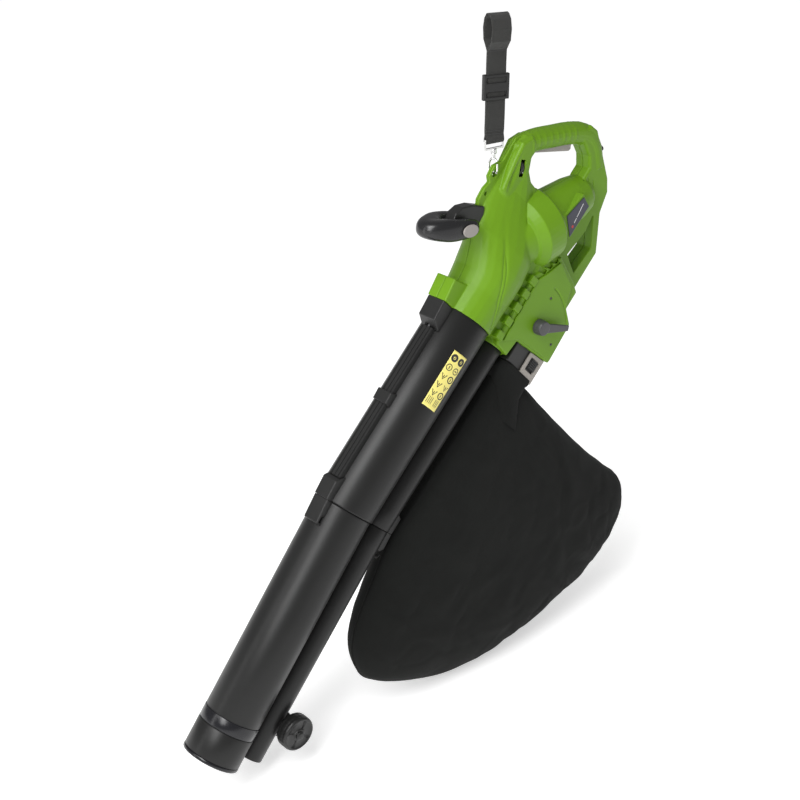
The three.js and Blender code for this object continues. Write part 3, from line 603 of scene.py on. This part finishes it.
def bag_cloth():
    rows, columns = 170, 220
    verts = []
    for i in range(rows):
        t = 0.001 + 0.998 * i / (rows - 1)
        verts += [bag_point(t, 2 * math.pi * j / columns) for j in range(columns)]
    faces = grid_faces(rows, columns)
    for start in (0, (rows - 1) * columns):
        ring = verts[start:start + columns]
        verts.append(sum(ring, Vector()) / columns)
        faces += [(start + j, start + (j + 1) % columns, len(verts) - 1) for j in range(columns)]
    obj = piece("bag_cloth", verts, faces, "bag_fabric", stands_for=["bag"])


def bag_neck():
    """The gathered cloth from the adapter, square at the top and rounder where it joins the bag."""
    sides = 72
    verts = []
    for i, (x, top, bottom, half) in enumerate(NECK):
        shape = 0.35 + 0.09 * i
        for j in range(sides):
            c, s = turned(sides, j)
            rise = (top + bottom) / 2 + (top - bottom) / 2 * signed_power(c, shape)
            y = half * signed_power(s, shape)
            crease = 0.9 * i / 3 * noise.noise(Vector((x / 20, rise / 14, y / 22)))
            ruffle = 0.8 * noise.noise(Vector((0, rise / 18, y / 18))) - 0.8
            verts.append(tool(x + ruffle, y + crease, rise + crease))
    faces = grid_faces(len(NECK), sides)
    faces.append(tuple(range(sides)))
    piece("bag_neck", verts, faces, "bag_fabric")


def bag_piping():
    """Piping along the seam where the two panels meet."""
    for turn, name in ((0.0, "right"), (math.pi, "left")):
        path = [bag_point(0.004 + 0.992 * i / 150, turn) for i in range(151)]
        round_cord(f"bag_piping_{name}", path, 0.0017, "bag_fabric")


bag_cloth()
bag_neck()
bag_piping()


# ---- front handle ----
def front_handle():
    """The thick bow of the front handle, swept round in one smooth U from arm to arm."""
    hinge = Vector(joints["front_handle_tilt"]["pos_m"])
    tilt = math.radians(51)
    reach = -U * math.cos(tilt) + V * math.sin(tilt)
    rise = Vector((-reach.z, 0, reach.x))
    rise = rise if rise.z > 0 else -rise
    # distance out from the hinge, distance sideways, and the section's half width and half height
    arm = [(-14, 25.2, 12.0, 13.5), (-12.5, 25.4, 12.4, 15), (0, 25.4, 12.6, 17.0), (19, 25.0, 12.8, 18.4),
           (32, 21.5, 15.4, 19.0), (42, 15.0, 20.0, 18.4), (49, 7.5, 25.0, 17.4)]
    line = arm + [(51.5, 0, 28.0, 16.6)] + [(x, -y, a, b) for x, y, a, b in reversed(arm)]
    steps, sides = 90, 48
    rows = [spline(line, i / (steps - 1)) for i in range(steps)]
    verts = []
    for i, (x, y, a, b) in enumerate(rows):
        x0, y0 = rows[max(i - 1, 0)][:2]
        x1, y1 = rows[min(i + 1, steps - 1)][:2]
        ahead = Vector((x1 - x0, y1 - y0)).normalized()
        outward = Vector((-ahead.y, ahead.x))
        if outward.dot(Vector((x - 8, y))) < 0:
            outward = -outward
        for j in range(sides):
            c, s = turned(sides, j)
            u = a * signed_power(c, 0.82)
            v = b * signed_power(s, 0.82) * (1.0 if s < 0 else 1.0 + 0.12 * c)
            px, py = x + outward.x * u, y + outward.y * u
            verts.append(hinge + (reach * px + Vector((0, 1, 0)) * py + rise * v) / 1000)
    faces = grid_faces(steps, sides) + end_caps(steps, sides)
    piece("front_handle_skin", verts, faces, "soft_black", "front_handle", stands_for=["aux_handle"])


front_handle()


# ---- strap ----
STRAP_HALF = 17.4
STRAP_THICK = 1.5
STRAP_LINE = [  # Y and Z: up the far run, round the top loop, down the near run and round the metal eye
    (2.0, 66), (2.0, 120), (2.0, 160), (2.0, 204), (8, 212), (14.4, 220), (16.8, 239), (13.2, 254),
    (6, 262), (0, 263.6), (-6, 262), (-13.2, 254), (-16.8, 239), (-14.4, 220), (-8, 212), (-2.0, 204),
    (-2.0, 160), (-2.0, 120), (-2.0, 66), (-4.6, 59.5), (-5.0, 55), (-2.8, 51.8), (0, 51.2),
    (2.8, 51.8), (5.0, 55), (4.6, 59.5),
]
SEAM_ROWS = (67.5, 72.6, 202.8)  # heights of the stitching that closes the lower and the upper loop


def strap_rows():
    """Points about 2.2 mm apart along the closed line of the strap."""
    rows = []
    for (a, p), (b, q) in zip(STRAP_LINE, STRAP_LINE[1:] + STRAP_LINE[:1]):
        steps = max(1, int(math.hypot(b - a, q - p) / 2.2))
        for k in range(steps):
            f = k / steps
            rows.append((a + (b - a) * f, p + (q - p) * f))
    return rows


def strap_cloth():
    rows = strap_rows()
    across = 12
    verts = []
    for i, (y, z) in enumerate(rows):
        (y0, z0), (y1, z1) = rows[i - 1], rows[(i + 1) % len(rows)]
        ny, nz = z1 - z0, -(y1 - y0)
        length = math.hypot(ny, nz) or 1
        ny, nz = ny / length, nz / length
        wave = 0.35 * math.sin(z / 9.0) + 0.5 * noise.noise(Vector((0, 0, z / 30))) if z < 205 else 0
        for layer in (0, 1):
            for j in range(across):
                x = -STRAP_HALF + 2 * STRAP_HALF * j / (across - 1)
                x = x if layer == 0 else -x
                edge = 1 - (abs(x) / STRAP_HALF) ** 8 * 0.35
                depth = 0 if layer == 0 else -STRAP_THICK * edge
                verts.append(strap_at(x, y + ny * depth + wave * 0.6, z + nz * depth))
    faces = grid_faces(len(rows), across * 2, close_rows=True)
    piece("strap_cloth", verts, faces, "webbing", stands_for=["strap_webbing"])


def strap_stitches():
    verts, faces = [], []
    for height in SEAM_ROWS:
        for x in np.arange(-15.5, 15.6, 3.1):
            b = len(verts)
            for dx, dz in ((-1.1, -0.45), (1.1, -0.45), (1.1, 0.45), (-1.1, 0.45)):
                for y in (-2.6, -2.2):
                    verts.append(strap_at(x + dx, y, height + dz))
            faces += [(b, b + 2, b + 4, b + 6), (b + 1, b + 7, b + 5, b + 3), (b, b + 1, b + 3, b + 2),
                      (b + 2, b + 3, b + 5, b + 4), (b + 4, b + 5, b + 7, b + 6), (b + 6, b + 7, b + 1, b)]
    piece("strap_stitches", verts, faces, "thread", smooth=False)


strap_cloth()
strap_stitches()
rounded("snap_hook", 0.0004, 3)
rounded("strap_eye", 0.0004, 3, spin=13)


# ---- label and badge ----
PER_DEGREE = 2 * math.pi * VAC_R / 360  # mm round the tube
MARK_LIFT = 0.12
LABEL_S, LABEL_T = (216.5, 106), (62.4, 34.2)  # start and length along the tube, start and width round it


def on_tube(s, t, lift=0.0):
    """A point of the label: s along the tube in mm, t round it in degrees from the rail side."""
    r = VAC_R + 1.0 + lift
    a = math.radians(t)
    return tool(s, -r * math.sin(a), r * math.cos(a))


def ring_mark(verts, faces, s, t, size, sides, thick=0.16, turn=0.0):
    """An outline of a regular figure on the label."""
    base = len(verts)
    for k in range(sides):
        a = turn + 2 * math.pi * k / sides
        for r in (size, size * (1 - thick)):
            verts.append(on_tube(s + r * math.cos(a), t + r * math.sin(a) / PER_DEGREE, MARK_LIFT))
    for k in range(sides):
        a, b = base + 2 * k, base + 2 * ((k + 1) % sides)
        faces.append((a, b, b + 1, a + 1))


def bar_mark(verts, faces, s, t, length, width):
    """A plain bar on the label."""
    base = len(verts)
    for ds, dt in ((-length, -width), (length, -width), (length, width), (-length, width)):
        verts.append(on_tube(s + ds / 2, t + dt / 2 / PER_DEGREE, MARK_LIFT))
    faces.append((base, base + 1, base + 2, base + 3))


def label_plate():
    """A thin curved plate: an outer and an inner skin, and the rim between them."""
    verts, faces = [], []
    columns, rows = 26, 40
    for skin in (0.0, -0.6):
        for i in range(rows):
            s = LABEL_S[0] + LABEL_S[1] * i / (rows - 1)
            verts += [on_tube(s, LABEL_T[0] + LABEL_T[1] * j / (columns - 1), skin) for j in range(columns)]
    n = rows * columns
    for i in range(rows - 1):
        for j in range(columns - 1):
            a = i * columns + j
            faces.append((a, a + 1, a + columns + 1, a + columns))
            faces.append((n + a, n + a + columns, n + a + columns + 1, n + a + 1))
    rim = [i * columns for i in range(rows)] + [(rows - 1) * columns + j for j in range(1, columns)]
    rim += [i * columns + columns - 1 for i in range(rows - 2, -1, -1)] + list(range(columns - 2, 0, -1))
    faces += [(a, b, n + b, n + a) for a, b in zip(rim, rim[1:] + rim[:1])]
    piece("label_plate", verts, faces, "yellow_label", stands_for=["warning_label"])


def label_marks():
    """Made-up signs in two columns, with a row of bars below."""
    verts, faces = [], []
    left, right = 71, 88
    for t in (left, right):
        ring_mark(verts, faces, 311, t, 7.0, 24, 0.62)
        bar_mark(verts, faces, 311, t, 3.4, 2.2)
    for t, length, width in ((left, 5.5, 1.8), (right, 1.8, 5.5)):
        ring_mark(verts, faces, 293, t, 6.2, 24, 0.24)
        bar_mark(verts, faces, 293, t, length, width)
    for s, sides in ((276, 24), (260, 3), (244, 24)):
        ring_mark(verts, faces, s, left, 7.2, 3, 0.34, math.pi)
        bar_mark(verts, faces, s - 0.5, left, 4.4, 1.6)
        ring_mark(verts, faces, s, right, 6.6, sides, 0.3, math.pi)
        bar_mark(verts, faces, s, right, 5, 1.6)
    for t in (66, 69.5, 73, 76.5, 84, 87.5, 91):
        bar_mark(verts, faces, 229, t, 13, 1.0)
    piece("label_marks", verts, faces, "ink", smooth=False)


label_plate()
label_marks()


def badge_mark(name, points, look):
    """A thin raised shape on the name plate."""
    y, n = -49.5, len(points)
    verts = [tool(x, y, z) for x, z in points] + [tool(x, y + 0.3, z) for x, z in points]
    faces = [tuple(range(n)), tuple(range(2 * n - 1, n - 1, -1))]
    faces += [(i, (i + 1) % n, n + (i + 1) % n, n + i) for i in range(n)]
    piece(name, verts, faces, look, smooth=False)


def badge():
    """The name plate, with a plain broken line and a dot in place of a name."""
    rounded("name_plate", 0.0004, 2)
    for x0, x1 in ((636, 645), (647, 673)):
        z0, z1 = (-66 + (x - 636) * 0.16 for x in (x0, x1))
        bar = [(x0, z0 - 0.7), (x1, z1 - 0.7), (x1, z1 + 0.7), (x0, z0 + 0.7)]
        badge_mark(f"badge_bar_{x0}", bar, "white_mark")
    circle = [(629 + 2.6 * c, -67.5 + 2.6 * s) for c, s in (turned(16, k) for k in range(16))]
    badge_mark("badge_dot", circle, "red_mark")


badge()


# ---- screws and vent backing ----
def cover_screw(name, x, z):
    """A round screw head with a socket, on the side cover."""
    y, radius, sides = -42.2, 2.4, 20
    rings = ((1, 0), (1, 1.0), (0.8, 1.5), (0.45, 1.5), (0.4, 0.5))
    verts = []
    for share, depth in rings:
        for k in range(sides):
            c, s = turned(sides, k)
            verts.append(tool(x + radius * share * c, y - depth, z + radius * share * s))
    faces = grid_faces(len(rings), sides) + end_caps(len(rings), sides)
    piece(name, verts, faces, "dark_grey_plastic")


def vent_backing():
    """The green web seen a little way inside the side vents."""
    outline = [(524, -62), (580, -62), (584, -106), (524, -106)]
    verts = [tool(x, y, z) for y in (-35.5, -34.5) for x, z in outline]
    faces = [(0, 1, 2, 3), (7, 6, 5, 4), (0, 4, 5, 1), (1, 5, 6, 2), (2, 6, 7, 3), (3, 7, 4, 0)]
    piece("vent_backing", verts, faces, "green_plastic", smooth=False)


cover_screw("cover_screw_front", 511, -128)
cover_screw("cover_screw_rear", 450, -196)
vent_backing()


# ---- floor, lamps and world ----
def floor():
    """A pale matt floor, partly lit from itself so that it meets the white background."""
    lo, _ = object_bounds()
    half, steps = 40, 40
    verts, faces = [], []
    for i in range(steps + 1):
        for j in range(steps + 1):
            verts.append((-half + 2 * half * i / steps, -half + 2 * half * j / steps, lo.z - 0.001))
    for i in range(steps):
        for j in range(steps):
            a = i * (steps + 1) + j
            faces.append((a, a + 1, a + steps + 2, a + steps + 1))
    mesh = bpy.data.meshes.new("floor")
    mesh.from_pydata(verts, [], faces)
    obj = bpy.data.objects.new("floor", mesh)
    bpy.context.scene.collection.objects.link(obj)
    made, tree, shader = nodes_of("floor_paint")
    cloud = pattern(tree, add(tree, "ShaderNodeTexCoord"), Scale=2.0)
    tree.links.new(ranged(tree, cloud, 0.86, 0.88), shader.inputs["Base Color"])
    shader.inputs["Roughness"].default_value = 1.0
    shader.inputs["Specular IOR Level"].default_value = 0.0
    shader.inputs["Emission Color"].default_value = (1, 1, 1, 1)
    shader.inputs["Emission Strength"].default_value = 0.51
    mesh.materials.append(made)
    obj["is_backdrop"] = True


def softbox(name, size, power, place, aim):
    data = bpy.data.lights.new(name, "AREA")
    data.shape = "RECTANGLE"
    data.size, data.size_y = size
    data.energy = power
    obj = bpy.data.objects.new(name, data)
    obj.location = place
    obj.rotation_euler = (Vector(aim) - Vector(place)).to_track_quat("-Z", "Y").to_euler()
    bpy.context.scene.collection.objects.link(obj)


def sun():
    """A very wide sun from above, a little towards the mouth end, for a soft shadow under the bag."""
    data = bpy.data.lights.new("sun", "SUN")
    data.energy = 1.05
    data.angle = math.radians(38)
    obj = bpy.data.objects.new("sun", data)
    obj.rotation_euler = Vector((-0.79, -0.20, 1.15)).to_track_quat("Z", "Y").to_euler()
    bpy.context.scene.collection.objects.link(obj)


def world():
    """White to the camera, and a weaker white fill for everything else."""
    made = bpy.data.worlds.new("world")
    bpy.context.scene.world = made
    made.use_nodes = True
    tree = made.node_tree
    fill = tree.nodes["Background"]
    fill.inputs["Color"].default_value = (1, 1, 1, 1)
    fill.inputs["Strength"].default_value = 0.30
    seen = add(tree, "ShaderNodeBackground", Color=(1, 1, 1, 1), Strength=1.0)
    rays = add(tree, "ShaderNodeLightPath")
    either = add(tree, "ShaderNodeMixShader")
    tree.links.new(rays.outputs["Is Camera Ray"], either.inputs[0])
    tree.links.new(fill.outputs[0], either.inputs[1])
    tree.links.new(seen.outputs[0], either.inputs[2])
    tree.links.new(either.outputs[0], tree.nodes["World Output"].inputs["Surface"])


def lights():
    world()
    sun()
    middle = tool(100, 0, -60)
    softbox("front_box", (0.75, 2.2), 42, middle + Vector((-1.52, -0.66, 1.42)), middle)
    softbox("left_box", (0.25, 2.2), 7, middle + Vector((-2.2, 0.5, 0.6)), middle)


floor()
lights()
bpy.context.scene.view_settings.view_transform = "Standard"
note_size()
